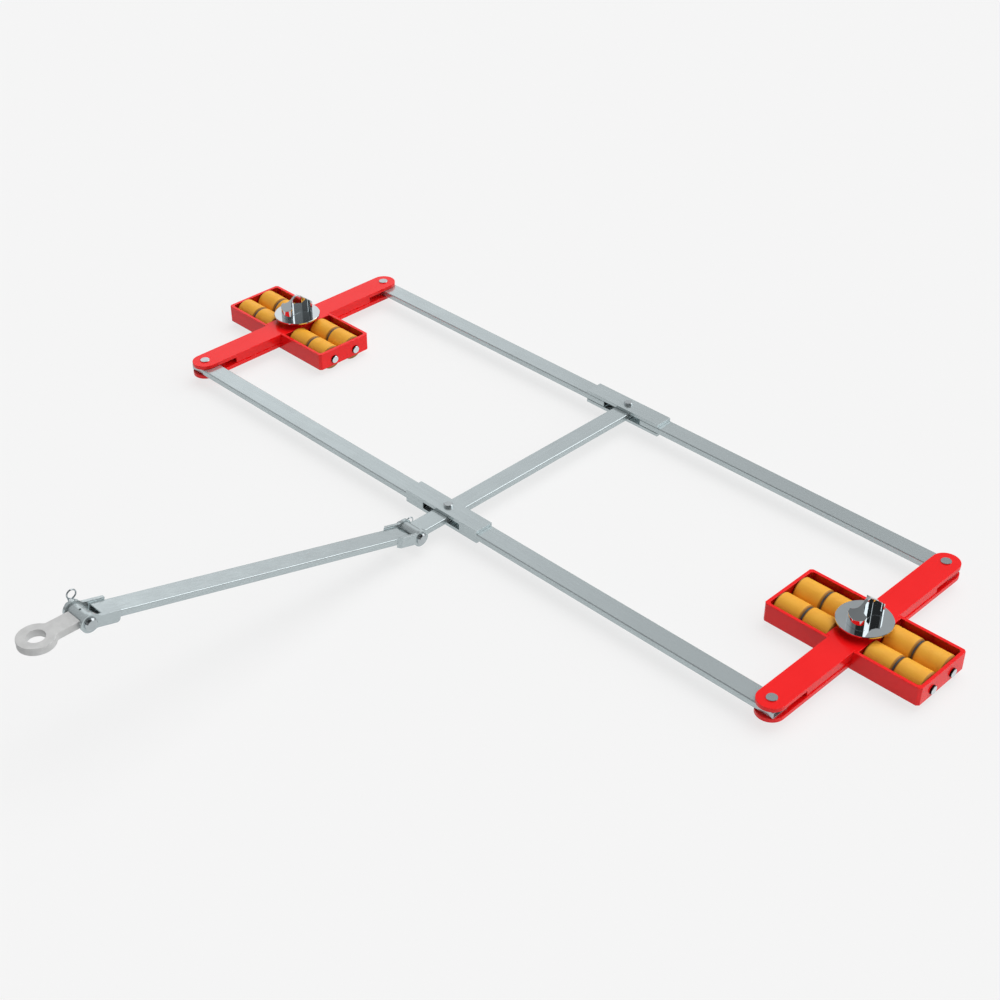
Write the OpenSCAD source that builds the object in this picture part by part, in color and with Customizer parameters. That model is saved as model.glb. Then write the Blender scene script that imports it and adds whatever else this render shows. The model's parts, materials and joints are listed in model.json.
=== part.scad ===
// Steerable machine skate: two roller skates under one pair of tie rods, turned by a drawbar.
// X runs along the tie rods, Y runs back from the drawbar, Z is up.
// The origin lies on the floor, at the middle of the ground that the whole machine covers.

/* [Layout] */
// Distance between the centres of the two skates
skate_spacing = 2259; // [1800:1:2700]
// Distance from the middle of a skate to each of its arm pins
arm_reach = 381; // [330:1:440]
// Gap between the floor and the underside of the skate box
ground_gap = 19; // [12:0.5:24]

/* [Rollers] */
// Outer diameter of a roller
roller_d = 80; // [76:1:84]
// Length of a roller
roller_l = 85.5; // [70:0.5:95]
// Thickness of the plastic tyre
tyre_t = 10; // [8:1:12]
// Rounding of the tyre's two edges
tyre_round = 6; // [2:0.5:7]
// Diameter of an axle
axle_d = 25; // [20:1:28]
// How far an axle stands out of the end walls
axle_end = 6; // [2:0.5:10]
// Outer diameter of the roller bearings
bearing_d = 47; // [42:1:50]
// Width of a roller bearing
bearing_w = 14; // [8:1:18]
// Diameter of the disc that keeps two rollers apart
spacer_d = 74; // [50:1:75]
// Thickness of that disc
spacer_t = 4; // [2:0.5:5]
// Diameter of the washers at the ends of a roller row
washer_d = 40; // [32:1:50]
// Thickness of those washers
washer_t = 1; // [0.8:0.2:2]
// Gap between the two rows of rollers
row_gap = 9; // [4:0.5:12]

/* [Skate box] */
// Height of the box walls
box_h = 56.5; // [54:0.5:66]
// Thickness of the box walls
box_wall = 10; // [8:0.5:16]
// Gap between a roller and the long wall
wall_gap = 8.5; // [1:0.5:12]
// Width of the closed middle part that carries the turntable
middle_w = 100; // [90:1:120]
// Thickness of the two cross walls beside it
cross_wall = 10; // [6:1:14]
// Chamfer on the upright corners of the box
corner_cut = 7; // [3:0.5:10]

/* [Cross arms] */
// Width of the arms
arm_w = 80; // [70:1:90]
// Thickness of the upper and lower arm plates
plate_t = 12; // [8:1:14]
// Thickness of the strips between the arm plates
strip_t = 6; // [4:0.5:10]
// How far the strips lie inside the edge of the plates
strip_inset = 3; // [1:0.5:6]
// Distance from the arm pin to the end of the strips
strip_stop = 96; // [80:1:120]
// Diameter of the arm pins
arm_pin_d = 20; // [16:1:24]
// Diameter of the arm pin heads
arm_head_d = 30; // [27:1:36]
// Height of the arm pin heads
arm_head_h = 3; // [2:0.5:6]

/* [Turntable] */
// Diameter of the turntable disc
disc_d = 150; // [130:1:160]
// Thickness of the turntable disc
disc_t = 5.5; // [4:0.5:8]
// Diameter of the round boss under the disc
boss_d = 92; // [70:1:95]
// Height of that boss
boss_h = 18.7; // [14:0.1:24]
// Diameter of the turntable spindle
spindle_d = 30; // [24:1:36]
// Diameter of the nut that holds the spindle from below
spindle_nut_d = 46; // [40:1:56]
// Thickness of that nut
spindle_nut_t = 7; // [5:0.5:9]

/* [Container lock] */
// Width of the lock piece
lock_w = 52; // [46:1:60]
// Length of the lock piece
lock_l = 110; // [100:1:120]
// Radius of its curved end faces
lock_end_r = 38; // [34:1:44]
// Height of its end faces
lock_end_h = 28; // [22:1:32]
// Slope of its two upper faces
lock_slope = 37.6; // [32:0.1:42]
// Rounding of the ridge between those faces
lock_ridge_r = 20; // [12:1:32]
// Thickness of the web between its two ends
lock_web = 9; // [7:1:14]
// Radius of the hollows beside that web
lock_hollow_r = 22; // [18:1:24]
// Length of the flat sides at each end
lock_flat_l = 8; // [5:1:9]

/* [Tie rods] */
// Width of the tie rods
rod_w = 60; // [50:1:64]
// Height of the tie rods
rod_h = 20; // [18:1:26]
// Wall of the tie rods
rod_wall = 3; // [2:0.5:4]
// Outside rounding of the tie rods
rod_round = 3.5; // [2:0.5:5]
// Length of a rod beyond its arm pin
rod_tail = 29; // [24:1:32]
// Diameter of the bush round each pin inside a tube
bush_d = 30; // [26:1:34]
// Length of the sleeves that join the rods
sleeve_l = 286; // [250:1:340]
// Half length of the window in a sleeve, where the rods stop
window_half = 73.5; // [72:0.5:85]
// Thickness of the bars above and below the rods
sleeve_bar = 10; // [6:0.5:14]
// Thickness of the sleeve's side web
sleeve_web = 3; // [2:0.5:5]
// Diameter of the sleeve pins
sleeve_pin_d = 20; // [16:1:22]
// Diameter of the sleeve pin heads
sleeve_head_d = 26; // [24:1:32]
// Height of the sleeve pin heads
sleeve_head_h = 8; // [4:0.5:10]

/* [Centre tube and drawbar] */
// Width of the centre tube
centre_w = 59; // [48:0.5:59.5]
// Distance from the front sleeve pin to the drawbar hinge
hinge_reach = 139; // [130:1:200]
// Diameter of the hinge barrel and of the towing eye's barrel
barrel_d = 40; // [36:1:44]
// Distance from the drawbar hinge to the fork pin
bar_l = 1059.5; // [800:0.5:1400]
// Angle of the drawbar above level
bar_pitch = 16; // [2:1:30]
// Width of the drawbar tube
bar_w = 60; // [52:1:66]
// Distance from each pin to the end of the drawbar tube
bar_stop = 39.5; // [36:0.5:50]
// Thickness of the ears
ear_t = 9; // [7:0.5:12]
// Radius of the round end of an ear
ear_r = 25; // [23:0.5:30]
// Height of the straight part of an ear
ear_h = 32; // [26:1:36]
// Length of the straight part of an ear behind the pin
ear_l = 82; // [70:1:110]
// Rounding between the two parts of an ear
ear_blend = 10; // [6:1:16]
// Rounding of the lower corner of the fork's ears
ear_corner = 9; // [4:1:14]
// Diameter of the hinge pin and the fork pin
hinge_pin_d = 20; // [16:1:22]
// Diameter of their heads
hinge_head_d = 34; // [30:1:38]
// Height of their heads
hinge_head_h = 8.5; // [6:0.5:12]
// Length of a pin beyond the ear on its plain side
pin_tail = 16; // [14:0.5:22]
// Wire diameter of the spring cotters
cotter_wire = 4; // [3:0.5:5]
// Outer diameter of the cotter rings
cotter_ring = 28; // [22:1:32]
// Distance from a pin's axis to the centre of its cotter ring
cotter_reach = 34; // [30:1:40]
// Lean of the hinge cotter, back from upright
hinge_cotter_lean = 80; // [0:5:90]

/* [Towing eye] */
// Distance from the fork pin to the centre of the eye
eye_reach = 118.5; // [105:0.5:150]
// Outer diameter of the eye
eye_d = 92; // [84:1:110]
// Diameter of the hole in the eye
eye_hole_d = 46; // [36:1:52]
// Thickness of the eye and its neck
eye_t = 20; // [16:1:24]
// Width of the neck
neck_w = 50; // [40:1:52]
// Rounding where the neck meets the ring
neck_blend = 12; // [6:1:20]
// Diameter of the grease hole in the barrel
grease_d = 6; // [4:0.5:8]

/* [Hidden] */
// Radial clearance of every pin, axle and spindle that turns in its hole
run_clear = 0.05;
// Radial clearance of the back rod on the skates' pins
loose_clear = 0.4;
// Gap beside rollers, spacers and washers on an axle
side_clear = 0.25;
// Room round the axle inside a roller's hub
hub_room = 3;
// Gap under a part that turns on a flat face
turn_gap = 0.3;
// Gap above and below a rod between the arm plates
plate_clear = 0.5;
// Gap between parts that are welded or pressed round a curve
seat_gap = 0.05;
// Thickness of the collars that hold the pins, and their width beyond the pin
collar_t = 4;
collar_w = 5;
// Length of a pin below its collar, and of a spindle below its nut
pin_stub = 2;
spindle_stub = 3;
cut_over = 1;
$fn = 64;

roller_r = roller_d / 2;
axle_r = axle_d / 2;
axle_z = roller_r;
row_y = roller_r + row_gap / 2;
bay_l = 2 * roller_l + spacer_t + 2 * washer_t + 4 * side_clear;
box_in_x = middle_w / 2 + bay_l;
box_in_y = row_y + roller_r + wall_gap;
bay_cut = min(corner_cut, 0.7 * wall_gap);
box_x = box_in_x + box_wall;
box_y = box_in_y + box_wall;
deck_z = ground_gap + box_h;
skate_x = skate_spacing / 2;

plate_gap = rod_h + 2 * plate_clear;
rod_z = deck_z - plate_t - plate_gap / 2;
lower_z = rod_z - plate_gap / 2 - plate_t;
strip_x = arm_w / 2 - strip_inset - strip_t;
strip_l = arm_reach - strip_stop - box_y;

boss_top = deck_z + boss_h;
disc_z = boss_top + turn_gap;
disc_top = disc_z + disc_t;
spindle_nut_z = deck_z - plate_t - turn_gap - spindle_nut_t;
spindle_low = spindle_nut_z - spindle_stub;

lock_apex = lock_end_h + tan(lock_slope) * lock_l / 2;
lock_top = lock_apex - lock_ridge_r * (1 / cos(lock_slope) - 1);
lock_bend_y = lock_ridge_r * sin(lock_slope);
lock_bend_z = lock_top - lock_ridge_r * (1 - cos(lock_slope));
lock_end_y = lock_l / 2 - lock_end_r;
lock_hollow_x = lock_web / 2 + lock_hollow_r;
lock_hollow_y = lock_end_y + sqrt(pow(lock_end_r, 2) - pow(lock_w / 2, 2)) - lock_flat_l - lock_hollow_r;

sleeve_top = rod_z + rod_h / 2 + sleeve_bar;
sleeve_bottom = rod_z - rod_h / 2 - sleeve_bar;
centre_h = rod_h - 2 * turn_gap;
bar_run = bar_l * cos(bar_pitch);
total_l = arm_w / 2 + 2 * arm_reach + hinge_reach + bar_run + eye_reach + eye_d / 2;
back_y = (total_l - arm_w) / 2;
skate_y = back_y - arm_reach;
front_y = skate_y - arm_reach;
hinge_y = front_y - hinge_reach;
barrel_r = barrel_d / 2;
ear_in = bar_w / 2;
ear_out = ear_in + ear_t;
barrel_l = 2 * ear_in - 2 * turn_gap;
pin_r = hinge_pin_d / 2;
fork_y = hinge_y - bar_run;
fork_z = rod_z + bar_l * sin(bar_pitch);
cotter_x = ear_out + pin_tail / 2;
cotter_leg_r = cotter_wire * 0.75;
cotter_leg_hole = cotter_leg_r + run_clear;

red = [0.93, 0.16, 0.16];
amber = [0.95, 0.64, 0.25];
zinc = [0.70, 0.74, 0.76];
steel = [0.55, 0.58, 0.60];
mirror_steel = [0.80, 0.83, 0.85];
plain_steel = [0.78, 0.78, 0.78];

// Shared shapes

module rounded_rect(w, h, r) {
    square([w - 2 * r, h], center = true);
    square([w, h - 2 * r], center = true);
    for (sx = [-1, 1], sy = [-1, 1])
        translate([sx * (w / 2 - r), sy * (h / 2 - r)]) circle(r);
}

module tube_section(w, h, wall, r) {
    difference() {
        rounded_rect(w, h, r);
        rounded_rect(w - 2 * wall, h - 2 * wall, max(r - wall, 0.5));
    }
}

// A bar of the given section along X, from x = a to x = b
module along_x(a, b) {
    translate([a, 0, 0]) rotate([90, 0, 90]) linear_extrude(b - a) children();
}

// A bar of the given section along Y, from y = a to y = b
module along_y(a, b) {
    translate([0, b, 0]) rotate([90, 0, 0]) linear_extrude(b - a) children();
}

// A round bar along X, centred on x = 0
module round_x(r, l) {
    rotate([0, 90, 0]) cylinder(r = r, h = l, center = true);
}

// An upright pin: its shank, and above it a head with an eased edge
module upright_pin(shank_r, z_low, z_high, head_r, head_h) {
    ease = head_h / 4;
    translate([0, 0, z_low]) cylinder(r = shank_r, h = z_high - z_low);
    translate([0, 0, z_high]) {
        cylinder(r = head_r, h = head_h - ease);
        translate([0, 0, head_h - ease]) cylinder(r1 = head_r, r2 = head_r - ease, h = ease);
    }
}

module pin_collar(shank_r, z_high) {
    translate([0, 0, z_high - collar_t]) difference() {
        cylinder(r = shank_r + collar_w, h = collar_t);
        translate([0, 0, -cut_over]) cylinder(r = shank_r + seat_gap, h = collar_t + 2 * cut_over);
    }
}

// Skate

module box_outline(x, y, cut) {
    polygon([
        [x - cut, -y], [x, cut - y], [x, y - cut], [x - cut, y],
        [cut - x, y], [-x, y - cut], [-x, cut - y], [cut - x, -y]
    ]);
}

// Top view of the top plate: two arms, and the wider middle between the long walls
module top_plate_outline() {
    square([arm_w, 2 * arm_reach], center = true);
    for (s = [-1, 1]) translate([0, s * arm_reach]) circle(arm_w / 2);
    square([middle_w, 2 * box_in_y], center = true);
}

module skate_box() {
    color(red) difference() {
        union() {
            translate([0, 0, ground_gap]) linear_extrude(box_h) difference() {
                box_outline(box_x, box_y, corner_cut);
                box_outline(box_in_x, box_in_y, bay_cut);
            }
            for (s = [-1, 1])
                translate([s * (middle_w - cross_wall) / 2, 0, ground_gap + (box_h - plate_t) / 2])
                    cube([cross_wall, 2 * box_in_y, box_h - plate_t], center = true);
        }
        translate([0, 0, deck_z - plate_t]) linear_extrude(plate_t + cut_over) top_plate_outline();
        for (s = [-1, 1])
            translate([0, s * row_y, axle_z]) round_x(axle_r + seat_gap, 2 * box_x + 2 * cut_over);
    }
}

module skate_top_plate() {
    color(red) translate([0, 0, deck_z - plate_t]) linear_extrude(plate_t) difference() {
        top_plate_outline();
        circle(spindle_d / 2 + run_clear);
        for (s = [-1, 1]) translate([0, s * arm_reach]) circle(arm_pin_d / 2 + seat_gap);
    }
}

module skate_lower_plates() {
    color(red) for (s = [-1, 1])
        translate([0, 0, lower_z]) linear_extrude(plate_t) difference() {
            union() {
                translate([-arm_w / 2, s > 0 ? box_y : -arm_reach]) square([arm_w, arm_reach - box_y]);
                translate([0, s * arm_reach]) circle(arm_w / 2);
            }
            translate([0, s * arm_reach]) circle(arm_pin_d / 2 + seat_gap);
        }
}

module skate_arm_strips() {
    color(red) for (s = [-1, 1], side = [-1, 1])
        translate([side * (strip_x + strip_t / 2), s * (box_y + strip_l / 2), rod_z])
            cube([strip_t, strip_l, plate_gap], center = true);
}

module skate_arm_pins() {
    color(steel) for (s = [-1, 1]) translate([0, s * arm_reach, 0])
        upright_pin(arm_pin_d / 2, lower_z - collar_t - pin_stub, deck_z, arm_head_d / 2, arm_head_h);
}

module skate_pin_collars() {
    color(steel) for (s = [-1, 1]) translate([0, s * arm_reach, 0]) pin_collar(arm_pin_d / 2, lower_z);
}

module skate_axles() {
    end_ease = 1.5;
    color(steel) for (s = [-1, 1]) translate([0, s * row_y, axle_z]) {
        round_x(axle_r, 2 * (box_x + axle_end - end_ease));
        for (e = [-1, 1]) translate([e * (box_x + axle_end - end_ease), 0, 0]) rotate([0, e * 90, 0])
            cylinder(r1 = axle_r, r2 = axle_r - end_ease, h = end_ease);
    }
}

module axle_ring(d, t) {
    rotate([0, 90, 0]) difference() {
        cylinder(d = d, h = t, center = true);
        cylinder(r = axle_r + seat_gap, h = t + 2 * cut_over, center = true);
    }
}

// Spacer between the two rollers of each row, and a washer at either end of the row
module skate_spacers() {
    color(steel) for (s = [-1, 1], side = [-1, 1])
        translate([side * (middle_w + bay_l) / 2, s * row_y, axle_z]) {
            axle_ring(spacer_d, spacer_t);
            for (e = [-1, 1]) translate([e * (bay_l - washer_t) / 2, 0, 0]) axle_ring(washer_d, washer_t);
        }
}

// A plastic tyre on a steel hub, with a bearing pressed into either end
module roller() {
    hub_r = roller_r - tyre_t;
    bearing_r = bearing_d / 2;
    rotate([0, 90, 0]) {
        color(amber) rotate_extrude() difference() {
            translate([roller_r / 2, 0]) rounded_rect(roller_r, roller_l, tyre_round);
            translate([-roller_r, -roller_l]) square([roller_r + hub_r, 2 * roller_l]);
        }
        color(steel) difference() {
            cylinder(r = hub_r - seat_gap, h = roller_l - 2 * side_clear, center = true);
            cylinder(r = axle_r + hub_room, h = roller_l, center = true);
            for (e = [-1, 1]) translate([0, 0, e * (roller_l - bearing_w) / 2])
                cylinder(r = bearing_r, h = bearing_w, center = true);
        }
        color(steel) for (e = [-1, 1]) translate([0, 0, e * (roller_l - bearing_w) / 2])
            difference() {
                cylinder(r = bearing_r - seat_gap, h = bearing_w - 2 * side_clear, center = true);
                cylinder(r = axle_r + run_clear, h = bearing_w, center = true);
            }
    }
}

// Rollers 1 to 4 run from left to right in the front row, 5 to 8 in the back row
module placed_roller(i) {
    row = i <= 4 ? -1 : 1;
    place = (i - 1) % 4;
    side = place < 2 ? -1 : 1;
    inner = place == 1 || place == 2 ? -1 : 1;
    from_middle = (middle_w + bay_l + inner * (spacer_t + roller_l + 2 * side_clear)) / 2;
    translate([side * from_middle, row * row_y, axle_z]) roller();
}

module swivel_boss() {
    lip = 3;
    color(red) translate([0, 0, deck_z]) rotate_extrude() polygon([
        [spindle_d / 2 + run_clear, 0], [boss_d / 2, 0], [boss_d / 2, lip],
        [boss_d / 2 - lip, 2 * lip], [boss_d / 2 - lip, boss_h - lip / 2],
        [boss_d / 2 - 1.5 * lip, boss_h], [spindle_d / 2 + run_clear, boss_h]
    ]);
}

module turntable() {
    edge = 0.8;
    color(mirror_steel) rotate_extrude() polygon([
        [0, spindle_low], [spindle_d / 2 - edge, spindle_low],
        [spindle_d / 2, spindle_low + edge], [spindle_d / 2, disc_z],
        [disc_d / 2 - edge, disc_z], [disc_d / 2, disc_z + edge],
        [disc_d / 2, disc_top - edge], [disc_d / 2 - edge, disc_top], [0, disc_top]
    ]);
}

module spindle_nut() {
    color(steel) translate([0, 0, spindle_nut_z]) difference() {
        cylinder(d = spindle_nut_d, h = spindle_nut_t, $fn = 6);
        translate([0, 0, -cut_over]) cylinder(r = spindle_d / 2 + seat_gap, h = spindle_nut_t + 2 * cut_over);
    }
}

// Top view of the lock piece: two curved ends joined by a web between rounded hollows
module lock_plan() {
    difference() {
        intersection() {
            square([lock_w, lock_l], center = true);
            union() {
                for (s = [-1, 1]) translate([0, s * lock_end_y]) circle(lock_end_r);
                square([lock_w, 2 * lock_end_y], center = true);
            }
        }
        for (side = [-1, 1]) translate([side * lock_hollow_x, 0]) {
            for (s = [-1, 1]) translate([0, s * lock_hollow_y]) circle(lock_hollow_r);
            square([2 * lock_hollow_r, 2 * lock_hollow_y], center = true);
        }
    }
}

// Side view of the lock piece: two slopes that meet in a rounded ridge
module lock_side() {
    polygon([
        [-lock_l / 2, 0], [lock_l / 2, 0], [lock_l / 2, lock_end_h],
        [lock_bend_y, lock_bend_z], [-lock_bend_y, lock_bend_z], [-lock_l / 2, lock_end_h]
    ]);
    intersection() {
        translate([0, lock_top - lock_ridge_r]) circle(lock_ridge_r);
        translate([-lock_bend_y, 0]) square([2 * lock_bend_y, lock_top + cut_over]);
    }
}

module lock() {
    color(mirror_steel) translate([0, 0, disc_top]) intersection() {
        linear_extrude(lock_top + cut_over) lock_plan();
        along_x(-lock_w, lock_w) lock_side();
    }
}

// Tie rods

module rod(a, b, pin_x, web_side, hole_r) {
    sleeve_in = sleeve_l / 2 + seat_gap;
    color(zinc) translate([0, 0, rod_z]) difference() {
        union() {
            along_x(a, b) tube_section(rod_w, rod_h, rod_wall, rod_round);
            translate([pin_x, 0, 0]) cylinder(d = bush_d, h = rod_h - rod_wall, center = true);
        }
        translate([pin_x, 0, 0]) cylinder(r = hole_r, h = rod_h + 2 * cut_over, center = true);
        // Room for the sleeve's web on the outer side
        for (s = [-1, 1])
            translate([s * sleeve_in / 2, web_side * rod_w / 2, 0])
                cube([sleeve_in, 2 * (sleeve_web + seat_gap), rod_h + cut_over], center = true);
    }
}

module left_rod(web_side, clear) {
    rod(-skate_x - rod_tail, -window_half, -skate_x, web_side, arm_pin_d / 2 + clear);
}

module right_rod(web_side, clear) {
    rod(window_half, skate_x + rod_tail, skate_x, web_side, arm_pin_d / 2 + clear);
}

// Two bars above and below the rods, joined on the outer side by a web with a window
module sleeve(web_side) {
    color(zinc) translate([0, 0, rod_z]) difference() {
        union() {
            for (s = [-1, 1]) translate([0, 0, s * (rod_h + sleeve_bar) / 2])
                cube([sleeve_l, rod_w, sleeve_bar], center = true);
            for (s = [-1, 1])
                translate([s * (window_half + sleeve_l / 2) / 2, web_side * (rod_w - sleeve_web) / 2, 0])
                    cube([sleeve_l / 2 - window_half, sleeve_web, rod_h + cut_over], center = true);
        }
        cylinder(r = sleeve_pin_d / 2 + run_clear, h = rod_h + 3 * sleeve_bar, center = true);
    }
}

module sleeve_pins() {
    color(steel) for (y = [front_y, back_y]) translate([0, y, 0])
        upright_pin(sleeve_pin_d / 2, sleeve_bottom - collar_t - pin_stub, sleeve_top,
            sleeve_head_d / 2, sleeve_head_h);
}

module sleeve_pin_collars() {
    color(steel) for (y = [front_y, back_y]) translate([0, y, 0]) pin_collar(sleeve_pin_d / 2, sleeve_bottom);
}

module centre_tube() {
    color(zinc) translate([0, 0, rod_z]) difference() {
        union() {
            along_y(hinge_y + barrel_r / 2, back_y + rod_tail)
                tube_section(centre_w, centre_h, rod_wall, rod_round);
            for (y = [front_y, back_y]) translate([0, y, 0])
                cylinder(d = bush_d, h = centre_h - rod_wall, center = true);
        }
        for (y = [front_y, back_y]) translate([0, y, 0])
            cylinder(r = sleeve_pin_d / 2 + seat_gap, h = rod_h + 2 * cut_over, center = true);
        translate([0, hinge_y, 0]) round_x(barrel_r + seat_gap, centre_w + 2 * cut_over);
    }
}

module hinge_barrel() {
    color(zinc) translate([0, hinge_y, rod_z]) difference() {
        round_x(barrel_r, barrel_l);
        round_x(pin_r + run_clear, barrel_l + 2 * cut_over);
    }
}

// Drawbar. Its own frame has the hinge at the origin and the fork at y = -bar_l

module in_bar_frame() {
    translate([0, hinge_y, rod_z]) rotate([-bar_pitch, 0, 0]) children();
}

module drawbar_tube() {
    color(zinc) in_bar_frame() along_y(bar_stop - bar_l, -bar_stop)
        tube_section(bar_w, rod_h, rod_wall, rod_round);
}

// Side view of an ear: its round end at the origin, its strap along +x
module ear_outline() {
    blend_y = ear_h / 2 + ear_blend;
    blend_x = sqrt(pow(ear_r + ear_blend, 2) - pow(blend_y, 2));
    circle(ear_r);
    translate([0, -ear_h / 2]) square([ear_l, ear_h]);
    difference() {
        polygon([[0, 0], [blend_x, -blend_y], [blend_x, blend_y]]);
        for (s = [-1, 1]) translate([blend_x, s * blend_y]) circle(ear_blend);
    }
}

// Side view of an ear of the fork, whose strap has a rounded lower corner
module fork_ear_outline() {
    difference() {
        ear_outline();
        translate([ear_l, -ear_h / 2]) difference() {
            square(2 * ear_corner, center = true);
            translate([-ear_corner, ear_corner]) circle(ear_corner);
            translate([-3 * ear_corner, -2 * ear_corner]) square([2 * ear_corner, 4 * ear_corner]);
            translate([-3 * ear_corner, ear_corner]) square([4 * ear_corner, 2 * ear_corner]);
        }
    }
}

// A pair of ears round the pin at the origin, with straps along dir * Y
module ear_pair(dir) {
    for (side = [-1, 1]) difference() {
        translate([side * (ear_in + ear_t / 2), 0, 0]) rotate([90, 0, dir * 90])
            linear_extrude(ear_t, center = true) children();
        round_x(pin_r + seat_gap, 2 * ear_out + 2 * cut_over);
    }
}

// The ends of the hinge's straps are cut slantwise towards the tube
module hinge_ears() {
    color(zinc) in_bar_frame() difference() {
        ear_pair(-1) ear_outline();
        for (side = [-1, 1]) translate([side * ear_out, -ear_l, 0]) rotate([0, 0, 45])
            cube([ear_t * sqrt(2), ear_t * sqrt(2), ear_h + 2 * cut_over], center = true);
    }
}

module fork_ears() {
    color(zinc) in_bar_frame() translate([0, -bar_l, 0]) ear_pair(1) fork_ear_outline();
}

// Pin with a domed head on the right and a cross hole for its cotter on the left
module cross_pin(lean) {
    dome = hinge_head_h / 2;
    pin_end = ear_out + pin_tail;
    color(steel) difference() {
        union() {
            translate([-pin_end, 0, 0]) rotate([0, 90, 0]) cylinder(r = pin_r, h = pin_end + ear_out);
            translate([ear_out, 0, 0]) rotate([0, 90, 0]) {
                cylinder(d = hinge_head_d, h = hinge_head_h - dome);
                translate([0, 0, hinge_head_h - dome])
                    cylinder(d1 = hinge_head_d, d2 = hinge_head_d - 2 * dome, h = dome);
            }
        }
        translate([-cotter_x, 0, 0]) rotate([-lean, 0, 0])
            cylinder(r = cotter_leg_hole, h = 2 * hinge_pin_d, center = true);
    }
}

// Split pin: a ring whose two ends draw together and go through the cross hole as one leg
module cotter() {
    ring_r = (cotter_ring - cotter_wire) / 2;
    leg_low = pin_r + 2 * cotter_wire;
    leg_high = pin_r + 1;
    spread = 50;
    side_y = ring_r * sin(spread);
    side_z = cotter_reach - ring_r * cos(spread);
    neck_y = cotter_leg_r - cotter_wire / 2;
    slant = atan((side_y - neck_y) / (side_z - leg_high + 2));
    neck_l = (side_z - leg_high + 2) / cos(slant);
    color(mirror_steel) translate([-cotter_x, 0, 0]) {
        translate([0, 0, cotter_reach]) rotate([0, 90, 0]) rotate_extrude()
            translate([ring_r, 0]) circle(d = cotter_wire, $fn = 24);
        for (s = [-1, 1]) translate([0, s * neck_y, leg_high - 2]) rotate([-s * slant, 0, 0])
            cylinder(d = 0.9 * cotter_wire, h = neck_l, $fn = 24);
        translate([0, 0, -leg_low]) cylinder(r = cotter_leg_r, h = leg_low + leg_high, $fn = 24);
    }
}

module hinge_pin() {
    in_bar_frame() cross_pin(hinge_cotter_lean);
}

module hinge_cotter() {
    in_bar_frame() rotate([-hinge_cotter_lean, 0, 0]) cotter();
}

module fork_pin() {
    in_bar_frame() translate([0, -bar_l, 0]) cross_pin(0);
}

module fork_cotter() {
    in_bar_frame() translate([0, -bar_l, 0]) cotter();
}

// Towing eye, level at the end of the drawbar

module eye_barrel() {
    color(zinc) translate([0, fork_y, fork_z]) difference() {
        round_x(barrel_r, barrel_l);
        round_x(pin_r + run_clear, barrel_l + 2 * cut_over);
        cylinder(d = grease_d, h = barrel_d, $fn = 32);
    }
}

// Top view of the eye, with the fork pin at the origin and the ring at y = -eye_reach
module eye_outline() {
    blend_x = neck_w / 2 + neck_blend;
    blend_y = sqrt(pow(eye_d / 2 + neck_blend, 2) - pow(blend_x, 2));
    difference() {
        union() {
            translate([0, -eye_reach]) circle(d = eye_d);
            translate([-neck_w / 2, -eye_reach]) square([neck_w, eye_reach]);
            translate([0, -eye_reach]) difference() {
                polygon([[0, 0], [blend_x, blend_y], [-blend_x, blend_y]]);
                for (s = [-1, 1]) translate([s * blend_x, blend_y]) circle(neck_blend);
            }
        }
        translate([0, -eye_reach]) circle(d = eye_hole_d);
    }
}

module towing_eye() {
    color(plain_steel) translate([0, fork_y, fork_z]) difference() {
        linear_extrude(eye_t, center = true) eye_outline();
        round_x(barrel_r + seat_gap, neck_w + 2 * cut_over);
        translate([0, barrel_r, 0]) cube([2 * neck_w, 2 * barrel_r, 2 * eye_t], center = true);
    }
}

module on_skate(side) {
    translate([side * skate_x, skate_y, 0]) children();
}

on_skate(-1) skate_box();  // left_box
on_skate(-1) skate_top_plate();  // left_top_plate
on_skate(-1) skate_lower_plates();  // left_lower_plates
on_skate(-1) skate_arm_strips();  // left_arm_strips
on_skate(-1) skate_arm_pins();  // left_arm_pins
on_skate(-1) skate_pin_collars();  // left_pin_collars
on_skate(-1) skate_axles();  // left_axles
on_skate(-1) skate_spacers();  // left_spacers
on_skate(-1) swivel_boss();  // left_swivel_boss
on_skate(-1) turntable();  // left_turntable
on_skate(-1) spindle_nut();  // left_spindle_nut
on_skate(-1) lock();  // left_lock
on_skate(-1) placed_roller(1);  // left_roller_1
on_skate(-1) placed_roller(2);  // left_roller_2
on_skate(-1) placed_roller(3);  // left_roller_3
on_skate(-1) placed_roller(4);  // left_roller_4
on_skate(-1) placed_roller(5);  // left_roller_5
on_skate(-1) placed_roller(6);  // left_roller_6
on_skate(-1) placed_roller(7);  // left_roller_7
on_skate(-1) placed_roller(8);  // left_roller_8
on_skate(1) skate_box();  // right_box
on_skate(1) skate_top_plate();  // right_top_plate
on_skate(1) skate_lower_plates();  // right_lower_plates
on_skate(1) skate_arm_strips();  // right_arm_strips
on_skate(1) skate_arm_pins();  // right_arm_pins
on_skate(1) skate_pin_collars();  // right_pin_collars
on_skate(1) skate_axles();  // right_axles
on_skate(1) skate_spacers();  // right_spacers
on_skate(1) swivel_boss();  // right_swivel_boss
on_skate(1) turntable();  // right_turntable
on_skate(1) spindle_nut();  // right_spindle_nut
on_skate(1) lock();  // right_lock
on_skate(1) placed_roller(1);  // right_roller_1
on_skate(1) placed_roller(2);  // right_roller_2
on_skate(1) placed_roller(3);  // right_roller_3
on_skate(1) placed_roller(4);  // right_roller_4
on_skate(1) placed_roller(5);  // right_roller_5
on_skate(1) placed_roller(6);  // right_roller_6
on_skate(1) placed_roller(7);  // right_roller_7
on_skate(1) placed_roller(8);  // right_roller_8
translate([0, front_y, 0]) left_rod(-1, run_clear);  // front_left_rod
translate([0, front_y, 0]) right_rod(-1, run_clear);  // front_right_rod
translate([0, front_y, 0]) sleeve(-1);  // front_sleeve
translate([0, back_y, 0]) left_rod(1, loose_clear);  // back_left_rod
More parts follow.
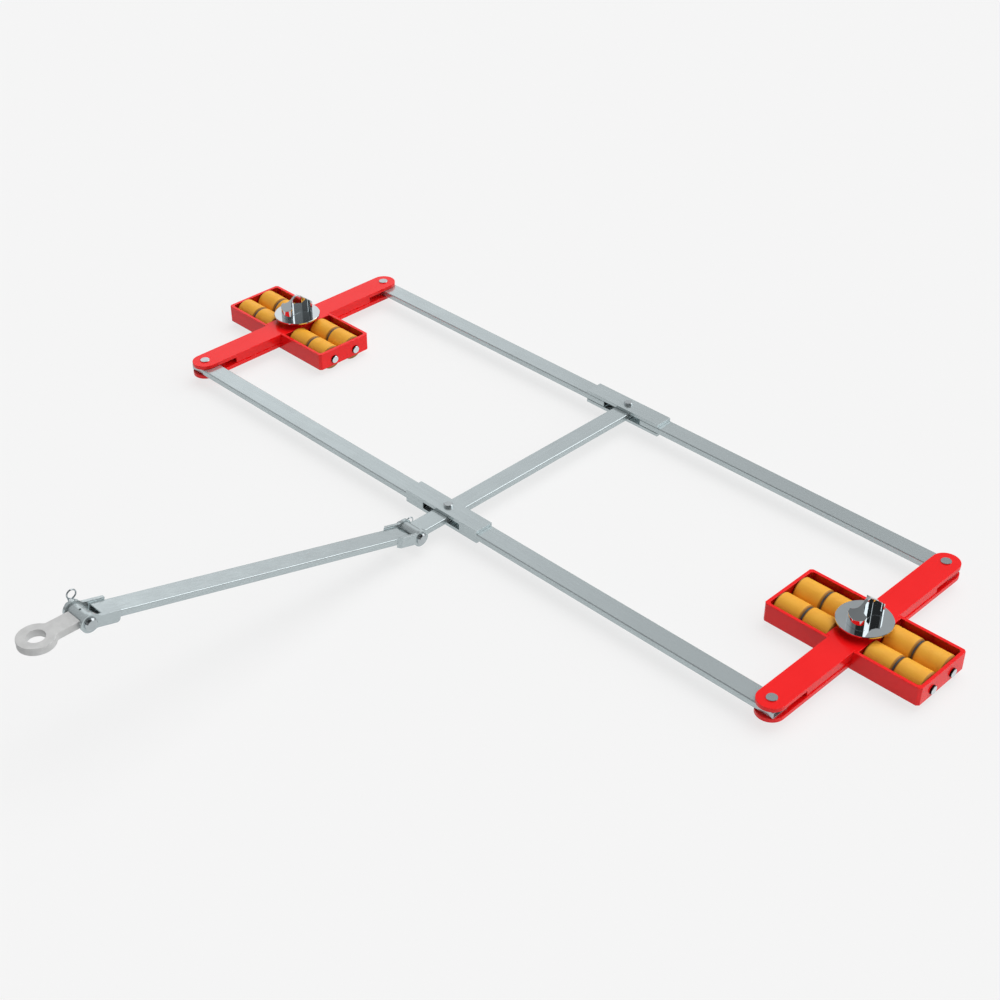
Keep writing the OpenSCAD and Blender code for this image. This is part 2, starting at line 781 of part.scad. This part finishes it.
translate([0, back_y, 0]) right_rod(1, loose_clear);  // back_right_rod
translate([0, back_y, 0]) sleeve(1);  // back_sleeve
centre_tube();
sleeve_pins();
sleeve_pin_collars();
hinge_barrel();
drawbar_tube();
hinge_ears();
hinge_pin();
hinge_cotter();
fork_ears();
fork_pin();
fork_cotter();
eye_barrel();
towing_eye();
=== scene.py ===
import json
import math

import bmesh
import bpy
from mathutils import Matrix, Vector


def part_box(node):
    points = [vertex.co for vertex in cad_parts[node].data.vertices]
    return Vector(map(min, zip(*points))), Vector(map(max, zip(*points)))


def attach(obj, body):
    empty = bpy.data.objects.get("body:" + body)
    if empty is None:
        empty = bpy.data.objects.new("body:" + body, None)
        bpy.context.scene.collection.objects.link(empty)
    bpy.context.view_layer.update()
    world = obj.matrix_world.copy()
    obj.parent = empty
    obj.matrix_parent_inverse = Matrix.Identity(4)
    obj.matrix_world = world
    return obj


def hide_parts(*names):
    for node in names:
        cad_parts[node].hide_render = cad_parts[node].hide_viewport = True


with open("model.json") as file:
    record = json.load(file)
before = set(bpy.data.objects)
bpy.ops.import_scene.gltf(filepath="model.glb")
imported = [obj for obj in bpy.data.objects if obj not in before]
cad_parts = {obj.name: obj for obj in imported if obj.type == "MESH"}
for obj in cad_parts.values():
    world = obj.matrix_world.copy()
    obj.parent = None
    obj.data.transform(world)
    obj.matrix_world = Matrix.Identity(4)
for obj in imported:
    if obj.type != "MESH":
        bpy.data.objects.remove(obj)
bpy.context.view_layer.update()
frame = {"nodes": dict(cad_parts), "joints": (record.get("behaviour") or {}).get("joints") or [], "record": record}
nodes = frame["nodes"]
bodyMembers = frame["record"]["behaviour"]["bodies"]
bodyOf = {node: body for body, members in bodyMembers.items() for node in members}
jointOf = {joint["name"]: joint for joint in frame["joints"]}
print("frame loaded:", len(nodes), "nodes")


# Places on the machine, read from the frame

def boxMiddle(node):
    low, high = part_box(node)
    return (low + high) / 2


rightMiddle = boxMiddle("right_box")
skateX = rightMiddle.x
skateY = rightMiddle.y
armReach = abs(jointOf["right_skate_steer"]["pos_m"][1] - skateY)
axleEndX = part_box("right_axles")[1].x - skateX
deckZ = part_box("right_box")[1].z
axleZ = jointOf["right_roller_1_spin"]["pos_m"][2]
rowY = abs(jointOf["right_roller_1_spin"]["pos_m"][1] - skateY)
rollersInRow = 4
rollerAt = sorted(abs(boxMiddle(f"right_roller_{number + 1}").x - skateX) for number in range(rollersInRow))
pairX = (rollerAt[0] + rollerAt[-1]) / 2      # middle of the two rollers in a bay
rollerX = (rollerAt[-1] - rollerAt[0]) / 2
rollerHalf = (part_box("right_roller_1")[1].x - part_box("right_roller_1")[0].x) / 2
hingePlace = Vector(jointOf["drawbar_lift"]["pos_m"])
forkPlace = Vector(jointOf["eye_tilt"]["pos_m"])
barSlope = math.atan2(forkPlace.z - hingePlace.z, hingePlace.y - forkPlace.y)


# Camera, at the photograph's angle

cameraSetup = {
    "azimuth": 45.0,
    "elevation": 35.264,
    "place": (2.75173, -2.28689, 2.74225),
    "lens": 59.09,
    "sensor": 36.0,
    "clipEnd": 60,
}


def makeCamera(setup):
    data = bpy.data.cameras.new("photoCamera")
    data.lens = setup["lens"]
    data.sensor_width = setup["sensor"]
    data.clip_end = setup["clipEnd"]
    camera = bpy.data.objects.new("photoCamera", data)
    bpy.context.scene.collection.objects.link(camera)
    turn = math.radians(setup["azimuth"])
    tilt = math.radians(setup["elevation"])
    back = Vector((math.sin(turn) * math.cos(tilt), -math.cos(turn) * math.cos(tilt), math.sin(tilt)))
    camera.location = setup["place"]
    camera.rotation_euler = (-back).to_track_quat("-Z", "Y").to_euler()
    bpy.context.scene.camera = camera


makeCamera(cameraSetup)
print("camera placed")


# Small helpers for shader nodes

def startTree(name):
    material = bpy.data.materials.new(name)
    material.use_nodes = True
    tree = material.node_tree
    tree.nodes.clear()
    return material, tree, tree.nodes.new("ShaderNodeOutputMaterial")


def startMaterial(name, metal=0.0):
    material, tree, output = startTree(name)
    shader = tree.nodes.new("ShaderNodeBsdfPrincipled")
    shader.inputs["Metallic"].default_value = metal
    tree.links.new(shader.outputs["BSDF"], output.inputs["Surface"])
    return material, tree, shader


def objectPoint(tree, scale=(1, 1, 1), middle=(0, 0, 0), turn=(0, 0, 0)):
    coords = tree.nodes.new("ShaderNodeTexCoord")
    mapping = tree.nodes.new("ShaderNodeMapping")
    shift = tree.nodes.new("ShaderNodeVectorMath")
    shift.operation = "SUBTRACT"
    shift.inputs[1].default_value = middle
    mapping.inputs["Scale"].default_value = scale
    mapping.inputs["Rotation"].default_value = turn
    tree.links.new(coords.outputs["Object"], shift.inputs[0])
    tree.links.new(shift.outputs["Vector"], mapping.inputs["Vector"])
    return mapping.outputs["Vector"]


def noiseValue(tree, point, scale, detail, roughness=0.5):
    noise = tree.nodes.new("ShaderNodeTexNoise")
    noise.inputs["Scale"].default_value = scale
    noise.inputs["Detail"].default_value = detail
    noise.inputs["Roughness"].default_value = roughness
    tree.links.new(point, noise.inputs["Vector"])
    return noise.outputs["Fac"]


def mathValue(tree, operation, first, second=None):
    step = tree.nodes.new("ShaderNodeMath")
    step.operation = operation
    for place, value in enumerate((first, second)):
        if value is None:
            continue
        if isinstance(value, (int, float)):
            step.inputs[place].default_value = value
        else:
            tree.links.new(value, step.inputs[place])
    return step.outputs["Value"]


noiseRange = (0.3, 0.7)      # noise keeps mostly between these, so they are what is spread by default


def spread(tree, value, low, high, fromLow=noiseRange[0], fromHigh=noiseRange[1]):
    step = tree.nodes.new("ShaderNodeMapRange")
    step.inputs["From Min"].default_value = fromLow
    step.inputs["From Max"].default_value = fromHigh
    step.inputs["To Min"].default_value = low
    step.inputs["To Max"].default_value = high
    tree.links.new(value, step.inputs["Value"])
    return step.outputs["Result"]


def mixColour(tree, factor, first, second):
    mix = tree.nodes.new("ShaderNodeMix")
    mix.data_type = "RGBA"
    tree.links.new(factor, mix.inputs["Factor"])
    for socket, colour in ((mix.inputs["A"], first), (mix.inputs["B"], second)):
        if isinstance(colour, tuple):
            socket.default_value = (*colour, 1)
        else:
            tree.links.new(colour, socket)
    return mix.outputs["Result"]


# How far a point lies from a skate's middle along each axis, and its height

def skatePoint(tree):
    coords = tree.nodes.new("ShaderNodeTexCoord")
    split = tree.nodes.new("ShaderNodeSeparateXYZ")
    tree.links.new(coords.outputs["Object"], split.inputs["Vector"])
    acrossX = mathValue(tree, "SUBTRACT", mathValue(tree, "ABSOLUTE", split.outputs["X"]), skateX)
    acrossY = mathValue(tree, "SUBTRACT", split.outputs["Y"], skateY)
    return mathValue(tree, "ABSOLUTE", acrossX), mathValue(tree, "ABSOLUTE", acrossY), split.outputs["Z"]


def setTones(tree, shader, look, clouds, between=noiseRange):
    tone = spread(tree, clouds, 0, 1, *between)
    tree.links.new(mixColour(tree, tone, look["light"], look["deep"]), shader.inputs["Base Color"])
    tree.links.new(spread(tree, clouds, *look["roughness"], *between), shader.inputs["Roughness"])


def addBump(tree, shader, height, strength, distance):
    bump = tree.nodes.new("ShaderNodeBump")
    bump.inputs["Strength"].default_value = strength
    bump.inputs["Distance"].default_value = distance
    tree.links.new(height, bump.inputs["Height"])
    tree.links.new(bump.outputs["Normal"], shader.inputs["Normal"])


# Materials

redPaint = {
    "light": (0.935, 0.010, 0.011),
    "deep": (0.885, 0.006, 0.007),
    # painted shade: the deeper red inside the roller bays
    "paintedBayShade": (0.40, 0.003, 0.002),
    "bayInset": 0.0095,
    "bayDepth": 0.0012,
    "roughness": (0.16, 0.24),
    "shine": 0.38,
    "clouds": (9, 4),
    "peel": (520, 2),
    "bump": (0.06, 0.00008),
}


# Inside the roller bays the red is painted deeper: painted shade in the recesses

def makeRedPaint():
    material, tree, shader = startMaterial("redEnamel")
    clouds = noiseValue(tree, objectPoint(tree), *redPaint["clouds"])
    peel = noiseValue(tree, objectPoint(tree), *redPaint["peel"])
    outerRed = mixColour(tree, spread(tree, clouds, 0, 1), redPaint["light"], redPaint["deep"])
    boxHalf = (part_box("right_box")[1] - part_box("right_box")[0]) / 2
    inset = redPaint["bayInset"]
    limits = (boxHalf.x - inset, boxHalf.y - inset, deckZ - redPaint["bayDepth"])
    # painted shade: this mask picks the inner faces of the bays, which get the deeper red
    paintedShadeMask = 1
    for value, limit in zip(skatePoint(tree), limits):
        paintedShadeMask = mathValue(tree, "MULTIPLY", paintedShadeMask, mathValue(tree, "LESS_THAN", value, limit))
    tree.links.new(mixColour(tree, paintedShadeMask, outerRed, redPaint["paintedBayShade"]), shader.inputs["Base Color"])
    tree.links.new(spread(tree, clouds, *redPaint["roughness"]), shader.inputs["Roughness"])
    shader.inputs["Specular IOR Level"].default_value = redPaint["shine"]
    addBump(tree, shader, peel, *redPaint["bump"])
    return material


zincCoat = {
    "light": (0.62, 0.68, 0.69),
    "deep": (0.575, 0.63, 0.64),
    "metal": 0.75,
    "roughness": (0.16, 0.24),
    "across": 45,
    "along": 1.5,
    "streaks": (4, 3),
    "clouds": (14, 4),
    "streakShare": 0.55,
    "between": (0.35, 0.65),
    "bump": (0.02, 0.00006),
}


def makeZinc(name, along, slope=0.0):
    material, tree, shader = startMaterial(name, zincCoat["metal"])
    stretch = [zincCoat["across"]] * 3
    stretch[along] = zincCoat["along"]
    streakPoint = objectPoint(tree, tuple(stretch), hingePlace, (slope, 0, 0))
    streaks = noiseValue(tree, streakPoint, *zincCoat["streaks"])
    clouds = noiseValue(tree, objectPoint(tree), *zincCoat["clouds"])
    share = zincCoat["streakShare"]
    mixed = mathValue(tree, "ADD", mathValue(tree, "MULTIPLY", streaks, share),
                      mathValue(tree, "MULTIPLY", clouds, 1 - share))
    setTones(tree, shader, zincCoat, mixed, zincCoat["between"])
    addBump(tree, shader, streaks, *zincCoat["bump"])
    return material


# Turned pieces have rings round their own axis, so a point is folded onto one quarter of the machine first

def foldedRadius(tree, middle, fold):
    coords = tree.nodes.new("ShaderNodeTexCoord")
    split = tree.nodes.new("ShaderNodeSeparateXYZ")
    tree.links.new(coords.outputs["Object"], split.inputs["Vector"])
    distances = []
    for place, axis in enumerate("XYZ"):
        if middle[place] is None:
            continue
        value = mathValue(tree, "SUBTRACT", split.outputs[axis], middle[place])
        if fold[place]:
            value = mathValue(tree, "SUBTRACT", mathValue(tree, "ABSOLUTE", value), fold[place])
        distances.append(mathValue(tree, "MULTIPLY", value, value))
    return mathValue(tree, "SQRT", mathValue(tree, "ADD", *distances))


def addRings(tree, shader, look, middle, fold):
    radius = foldedRadius(tree, middle, fold)
    rings = mathValue(tree, "SINE", mathValue(tree, "MULTIPLY", radius, look["rings"]))
    addBump(tree, shader, rings, *look["bump"])


turnedSteel = {
    "light": (0.66, 0.69, 0.70),
    "deep": (0.58, 0.61, 0.62),
    "roughness": (0.12, 0.2),
    "clouds": (60, 3),
    "rings": 9000,
    "bump": (0.06, 0.00005),
}
# the near-black side colour is a painted dark reflection
axleLook = {"end": (0.95, 0.97, 0.98), "side": (0.020, 0.022, 0.024), "endDepth": 0.0009}


def makeTurnedSteel(name, middle, fold):
    material, tree, shader = startMaterial(name, 1)
    setTones(tree, shader, turnedSteel, noiseValue(tree, objectPoint(tree), *turnedSteel["clouds"]))
    addRings(tree, shader, turnedSteel, middle, fold)
    return material


# Axle sides are painted near-black as a painted dark reflection, with bright turned ends

def makeAxleSteel():
    material, tree, shader = startMaterial("axleSteel", 1)
    isEnd = mathValue(tree, "GREATER_THAN", skatePoint(tree)[0], axleEndX - axleLook["endDepth"])
    tree.links.new(mixColour(tree, isEnd, axleLook["side"], axleLook["end"]), shader.inputs["Base Color"])
    clouds = noiseValue(tree, objectPoint(tree), *turnedSteel["clouds"])
    tree.links.new(spread(tree, clouds, *turnedSteel["roughness"]), shader.inputs["Roughness"])
    addRings(tree, shader, turnedSteel, (None, skateY, axleZ), (0, rowY, 0))
    return material


polishedSteel = {
    "light": (0.74, 0.775, 0.79),
    "deep": (0.70, 0.735, 0.75),
    "roughness": (0.03, 0.06),
    "clouds": (22, 4),
    "rings": 5200,
    "bump": (0.015, 0.00003),
}


def makePolishedSteel():
    material, tree, shader = startMaterial("polishedSteel", 1)
    setTones(tree, shader, polishedSteel, noiseValue(tree, objectPoint(tree), *polishedSteel["clouds"]))
    addRings(tree, shader, polishedSteel, (0, skateY, None), (skateX, 0, 0))
    return material


rollerLook = {
    "tyreLight": (0.915, 0.455, 0.040),
    "tyreDeep": (0.880, 0.400, 0.032),
    # painted shade on the rounded tyre shoulders
    "tyreEdgeShade": (0.40, 0.165, 0.018),
    "edgeFrom": 0.0064,
    "edgeTo": 0.0034,
    "hub": (0.30, 0.31, 0.32),
    "hubRadius": 0.030,
    "roughness": (0.38, 0.52),
    "clouds": (30, 3),
    "lines": (2600, 30, 30),
    "grain": (1, 2),
    "bump": (0.10, 0.00006),
}


# The tyre is amber and the hub inside it is steel, told apart by their distance from the axle

def makeRollerLook(name, row):
    material, tree, shader = startMaterial(name)
    radius = foldedRadius(tree, (None, skateY + row * rowY, axleZ), (0, 0, 0))
    isHub = mathValue(tree, "LESS_THAN", radius, rollerLook["hubRadius"])
    clouds = noiseValue(tree, objectPoint(tree), *rollerLook["clouds"])
    tyre = mixColour(tree, spread(tree, clouds, 0, 1), rollerLook["tyreLight"], rollerLook["tyreDeep"])
    acrossX = skatePoint(tree)[0]
    fromPair = mathValue(tree, "ABSOLUTE", mathValue(tree, "SUBTRACT", acrossX, pairX))
    fromMiddle = mathValue(tree, "ABSOLUTE", mathValue(tree, "SUBTRACT", fromPair, rollerX))
    # painted shade: the tyre darkens over its rounded shoulders at both ends
    edge = spread(tree, fromMiddle, 0, 1,
                  rollerHalf - rollerLook["edgeFrom"], rollerHalf - rollerLook["edgeTo"])
    tyre = mixColour(tree, edge, tyre, rollerLook["tyreEdgeShade"])      # painted shade on the rounded shoulders, darker towards its ends
    tree.links.new(mixColour(tree, isHub, tyre, rollerLook["hub"]), shader.inputs["Base Color"])
    tree.links.new(isHub, shader.inputs["Metallic"])
    tree.links.new(spread(tree, clouds, *rollerLook["roughness"]), shader.inputs["Roughness"])
    grain = noiseValue(tree, objectPoint(tree, rollerLook["lines"]), *rollerLook["grain"])
    addBump(tree, shader, grain, *rollerLook["bump"])
    return material


# Spacers and washers are plain dark steel

darkSteel = {
    "light": (0.13, 0.155, 0.185),
    "deep": (0.09, 0.11, 0.135),
    "metal": 0.7,
    "roughness": (0.28, 0.42),
    "clouds": (80, 3),
}


def makeDarkSteel():
    material, tree, shader = startMaterial("darkSteel", darkSteel["metal"])
    setTones(tree, shader, darkSteel, noiseValue(tree, objectPoint(tree), *darkSteel["clouds"]))
    return material


eyeSteel = {
    "light": (0.66, 0.66, 0.655),
    "deep": (0.58, 0.58, 0.575),
    "metal": 0.25,
    "roughness": (0.45, 0.6),
    "clouds": (40, 5, 0.6),
    "grit": (900, 2),
    "bump": (0.10, 0.0001),
}


def makeEyeSteel():
    material, tree, shader = startMaterial("satinSteel", eyeSteel["metal"])
    setTones(tree, shader, eyeSteel, noiseValue(tree, objectPoint(tree), *eyeSteel["clouds"]))
    addBump(tree, shader, noiseValue(tree, objectPoint(tree), *eyeSteel["grit"]), *eyeSteel["bump"])
    return material


redEnamel = makeRedPaint()
zincAlongX = makeZinc("zincAlongX", 0)
zincAlongY = makeZinc("zincAlongY", 1)
zincAlongBar = makeZinc("zincAlongBar", 1, barSlope)
armPinSteel = makeTurnedSteel("armPinSteel", (0, skateY, None), (skateX, armReach, 0))
sleevePinSteel = makeTurnedSteel("sleevePinSteel", (0, skateY, None), (0, armReach, 0))
axleSteel = makeAxleSteel()
hingePinSteel = makeTurnedSteel("hingePinSteel", (None, hingePlace.y, hingePlace.z), (0, 0, 0))
forkPinSteel = makeTurnedSteel("forkPinSteel", (None, forkPlace.y, forkPlace.z), (0, 0, 0))
spindleSteel = makeTurnedSteel("spindleSteel", (0, skateY, None), (skateX, 0, 0))
mirrorSteel = makePolishedSteel()
spacerSteel = makeDarkSteel()
frontTyre = makeRollerLook("frontTyre", -1)
backTyre = makeRollerLook("backTyre", 1)
satinSteel = makeEyeSteel()
print("materials made")


# Every CAD node gets its finish, and a copy with eased edges stands for it

nodeFinish = {
    "box": (redEnamel, 0.0009), "top_plate": (redEnamel, 0.0009), "lower_plates": (redEnamel, 0.0009),
    "arm_strips": (redEnamel, 0.0006), "swivel_boss": (redEnamel, 0.0004),
    "arm_pins": (armPinSteel, 0), "pin_collars": (armPinSteel, 0.0004),
    "axles": (axleSteel, 0), "spacers": (spacerSteel, 0.0003),
    "turntable": (mirrorSteel, 0), "spindle_nut": (spindleSteel, 0.0005), "lock": (mirrorSteel, 0.0011),
    "left_rod": (zincAlongX, 0.0003), "right_rod": (zincAlongX, 0.0003), "sleeve": (zincAlongX, 0.0005),
    "centre_tube": (zincAlongY, 0.0003), "sleeve_pins": (sleevePinSteel, 0),
    "sleeve_pin_collars": (sleevePinSteel, 0.0004), "hinge_barrel": (zincAlongX, 0.0005),
    "drawbar_tube": (zincAlongBar, 0.0003),
    "hinge_ears": (zincAlongBar, 0.0006), "fork_ears": (zincAlongBar, 0.0006),
    "hinge_pin": (hingePinSteel, 0), "fork_pin": (forkPinSteel, 0),
    "hinge_cotter": (mirrorSteel, 0), "fork_cotter": (mirrorSteel, 0),
    "eye_barrel": (zincAlongX, 0.0005), "towing_eye": (satinSteel, 0.0008),
}


def finishOf(node):
    if "_roller_" in node:
        return (frontTyre if int(node[-1]) <= rollersInRow else backTyre), 0
    plain = node
    for side in ("left_", "right_", "front_", "back_"):
        if plain not in nodeFinish and plain.startswith(side):
            plain = plain[len(side):]
    return nodeFinish[plain]


easing = {
    "weldDistance": 1e-6,
    "flat": math.radians(0.4),
    "sharp": math.radians(28),
    "segments": 3,
    "profile": 0.5,
    "smooth": math.radians(42),
    "weight": 100,
}


# The CAD mesh brings its own stored normals, which no longer fit once edges are eased

def smoothByAngle(piece):
    for name in ("custom_normal", "sharp_edge"):
        stored = piece.data.attributes.get(name)
        if stored:
            piece.data.attributes.remove(stored)
    for face in piece.data.polygons:
        face.use_smooth = True
    piece.data.set_sharp_from_angle(angle=easing["smooth"])
    weighted = piece.modifiers.new("weightedNormals", "WEIGHTED_NORMAL")
    weighted.weight = easing["weight"]
    weighted.keep_sharp = True


def easedCopy(node, material, width):
    build = bmesh.new()
    build.from_mesh(nodes[node].data)
    bmesh.ops.remove_doubles(build, verts=build.verts[:], dist=easing["weldDistance"])
    bmesh.ops.dissolve_limit(build, angle_limit=easing["flat"], verts=build.verts[:], edges=build.edges[:])
    if width:
        corners = [edge for edge in build.edges
                   if len(edge.link_faces) == 2 and edge.calc_face_angle() > easing["sharp"]]
        bmesh.ops.bevel(build, geom=corners, offset=width, offset_type="OFFSET",
                        segments=easing["segments"], profile=easing["profile"],
                        affect="EDGES", clamp_overlap=False, material=-1)
    mesh = bpy.data.meshes.new(node + "-finished")
    build.to_mesh(mesh)
    build.free()
    piece = bpy.data.objects.new(node + "-finished", mesh)
    bpy.context.scene.collection.objects.link(piece)
    mesh.materials.clear()
    mesh.materials.append(material)
    smoothByAngle(piece)
    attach(piece, bodyOf[node])
    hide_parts(node)


for node in sorted(nodes):
    material, width = finishOf(node)
    for materialSlot in nodes[node].material_slots:
        materialSlot.material = material
    easedCopy(node, material, width)
print("nodes finished")


# Floor, light and background

floorSetup = {
    "size": 60,
    "colour": (0.913, 0.913, 0.913),
    "mirrored": (0.66, 0.69, 0.70),
    "glowShare": 0.8,
}
worldSetup = {
    "pale": (0.913, 0.913, 0.913),
    "fill": 0.30,
    "dark": 0.42,
    "light": 1.0,
    "darkFrom": -0.45,
    "lightFrom": -0.74,
    "horizon": 0.14,
    "bandTop": 0.3,
    "shadeY": (0.45, 0.15, 0.5),
    "belt": {
        "at": (0.88, -0.47, 0),
        "edge": (0.24, 0.33),
        "rise": (0.42, 0.52),
        "fall": (0.74, 0.84),
        "keep": 0.15,
    },
    "windows": (
        {"at": (-0.05, 0.55, 0.83), "edge": (0.955, 0.975), "glow": 1.05},
        {"at": (0.35, 0.63, 0.69), "edge": (0.92, 0.955), "glow": 1.2},
        {"at": (0.15, 0.87, 0.46), "edge": (0.955, 0.978), "glow": 1.05},
    ),
    "tint": (0.97, 1.0, 1.02),
}
lampDistance = 6
lampSetup = {
    "overhead": {"turn": 200, "tilt": 74, "strength": 1.28, "spread": 50},
    "key": {"turn": 138, "tilt": 42, "strength": 1.75, "spread": 80},
}


def seenRay(tree):
    ray = tree.nodes.new("ShaderNodeLightPath")
    either = mathValue(tree, "MAXIMUM", ray.outputs["Is Camera Ray"], ray.outputs["Is Glossy Ray"])
    return mathValue(tree, "MAXIMUM", either, ray.outputs["Is Transmission Ray"])


def makeFloor(setup):
    build = bmesh.new()
    bmesh.ops.create_grid(build, x_segments=1, y_segments=1, size=setup["size"])
    mesh = bpy.data.meshes.new("floor")
    build.to_mesh(mesh)
    build.free()
    floor = bpy.data.objects.new("floor", mesh)
    bpy.context.scene.collection.objects.link(floor)
    material, tree, output = startTree("floorPaint")
    diffuse = tree.nodes.new("ShaderNodeBsdfDiffuse")
    diffuse.inputs["Color"].default_value = (*setup["colour"], 1)
    glow = tree.nodes.new("ShaderNodeEmission")
    ray = tree.nodes.new("ShaderNodeLightPath")
    glowColour = mixColour(tree, ray.outputs["Is Glossy Ray"], setup["colour"], setup["mirrored"])
    tree.links.new(glowColour, glow.inputs["Color"])
    mix = tree.nodes.new("ShaderNodeMixShader")
    glowShare = mathValue(tree, "MULTIPLY", seenRay(tree), setup["glowShare"])
    tree.links.new(mathValue(tree, "MAXIMUM", glowShare, ray.outputs["Is Glossy Ray"]), mix.inputs["Fac"])
    tree.links.new(diffuse.outputs["BSDF"], mix.inputs[1])
    tree.links.new(glow.outputs["Emission"], mix.inputs[2])
    tree.links.new(mix.outputs["Shader"], output.inputs["Surface"])
    mesh.materials.append(material)


# What shiny parts mirror: a studio that is paler on one side, with a dark belt and bright windows

def roundPatch(tree, coords, patch, outside, inside):
    towards = tree.nodes.new("ShaderNodeVectorMath")
    towards.operation = "DOT_PRODUCT"
    towards.inputs[1].default_value = Vector(patch["at"]).normalized()
    tree.links.new(coords.outputs["Generated"], towards.inputs[0])
    return spread(tree, towards.outputs["Value"], outside, inside, *patch["edge"])


def mirroredStudio(tree, setup):
    coords = tree.nodes.new("ShaderNodeTexCoord")
    split = tree.nodes.new("ShaderNodeSeparateXYZ")
    tree.links.new(coords.outputs["Generated"], split.inputs["Vector"])
    studio = spread(tree, split.outputs["X"], setup["dark"], setup["light"],
                    setup["darkFrom"], setup["lightFrom"])
    band = spread(tree, split.outputs["Z"], setup["horizon"], 1, 0, setup["bandTop"])
    total = mathValue(tree, "MULTIPLY", studio, band)
    belt = setup["belt"]
    rise = spread(tree, split.outputs["Z"], 0, 1, *belt["rise"])
    fall = spread(tree, split.outputs["Z"], 1, 0, *belt["fall"])
    shade = mathValue(tree, "MULTIPLY", rise, fall)
    shade = mathValue(tree, "MULTIPLY", roundPatch(tree, coords, belt, 0, 1), shade)
    total = mathValue(tree, "MULTIPLY", total, spread(tree, shade, 1, belt["keep"], 0, 1))
    begin, end, least = setup["shadeY"]
    total = mathValue(tree, "MULTIPLY", total, spread(tree, split.outputs["Y"], 1, least, begin, end))
    for window in setup["windows"]:
        total = mathValue(tree, "ADD", total, roundPatch(tree, coords, window, 0, window["glow"]))
    return total


def makeWorld(setup):
    world = bpy.data.worlds.new("studio")
    bpy.context.scene.world = world
    world.use_nodes = True
    tree = world.node_tree
    tree.nodes.clear()
    output = tree.nodes.new("ShaderNodeOutputWorld")
    fill = tree.nodes.new("ShaderNodeBackground")
    fill.inputs["Strength"].default_value = setup["fill"]
    seen = tree.nodes.new("ShaderNodeBackground")
    seen.inputs["Color"].default_value = (*setup["pale"], 1)
    mirrored = tree.nodes.new("ShaderNodeBackground")
    mirrored.inputs["Color"].default_value = (*setup["tint"], 1)
    tree.links.new(mirroredStudio(tree, setup), mirrored.inputs["Strength"])
    ray = tree.nodes.new("ShaderNodeLightPath")
    unseen = tree.nodes.new("ShaderNodeMixShader")
    tree.links.new(ray.outputs["Is Glossy Ray"], unseen.inputs["Fac"])
    tree.links.new(fill.outputs["Background"], unseen.inputs[1])
    tree.links.new(mirrored.outputs["Background"], unseen.inputs[2])
    mix = tree.nodes.new("ShaderNodeMixShader")
    plain = mathValue(tree, "MAXIMUM", ray.outputs["Is Camera Ray"], ray.outputs["Is Transmission Ray"])
    tree.links.new(plain, mix.inputs["Fac"])
    tree.links.new(unseen.outputs["Shader"], mix.inputs[1])
    tree.links.new(seen.outputs["Background"], mix.inputs[2])
    tree.links.new(mix.outputs["Shader"], output.inputs["Surface"])


def makeLamps(setup):
    for name, lamp in setup.items():
        data = bpy.data.lights.new(name, "SUN")
        data.energy = lamp["strength"]
        data.angle = math.radians(lamp["spread"])
        light = bpy.data.objects.new(name, data)
        bpy.context.scene.collection.objects.link(light)
        light.visible_glossy = False      # shiny parts mirror the studio alone
        turn = math.radians(lamp["turn"])
        tilt = math.radians(lamp["tilt"])
        towards = Vector((math.sin(turn) * math.cos(tilt), -math.cos(turn) * math.cos(tilt), math.sin(tilt)))
        light.rotation_euler = towards.to_track_quat("Z", "Y").to_euler()
        light.location = towards * lampDistance


makeFloor(floorSetup)
makeWorld(worldSetup)
makeLamps(lampSetup)
bpy.context.scene.view_settings.view_transform = "Standard"
print("floor, world and lamps made")
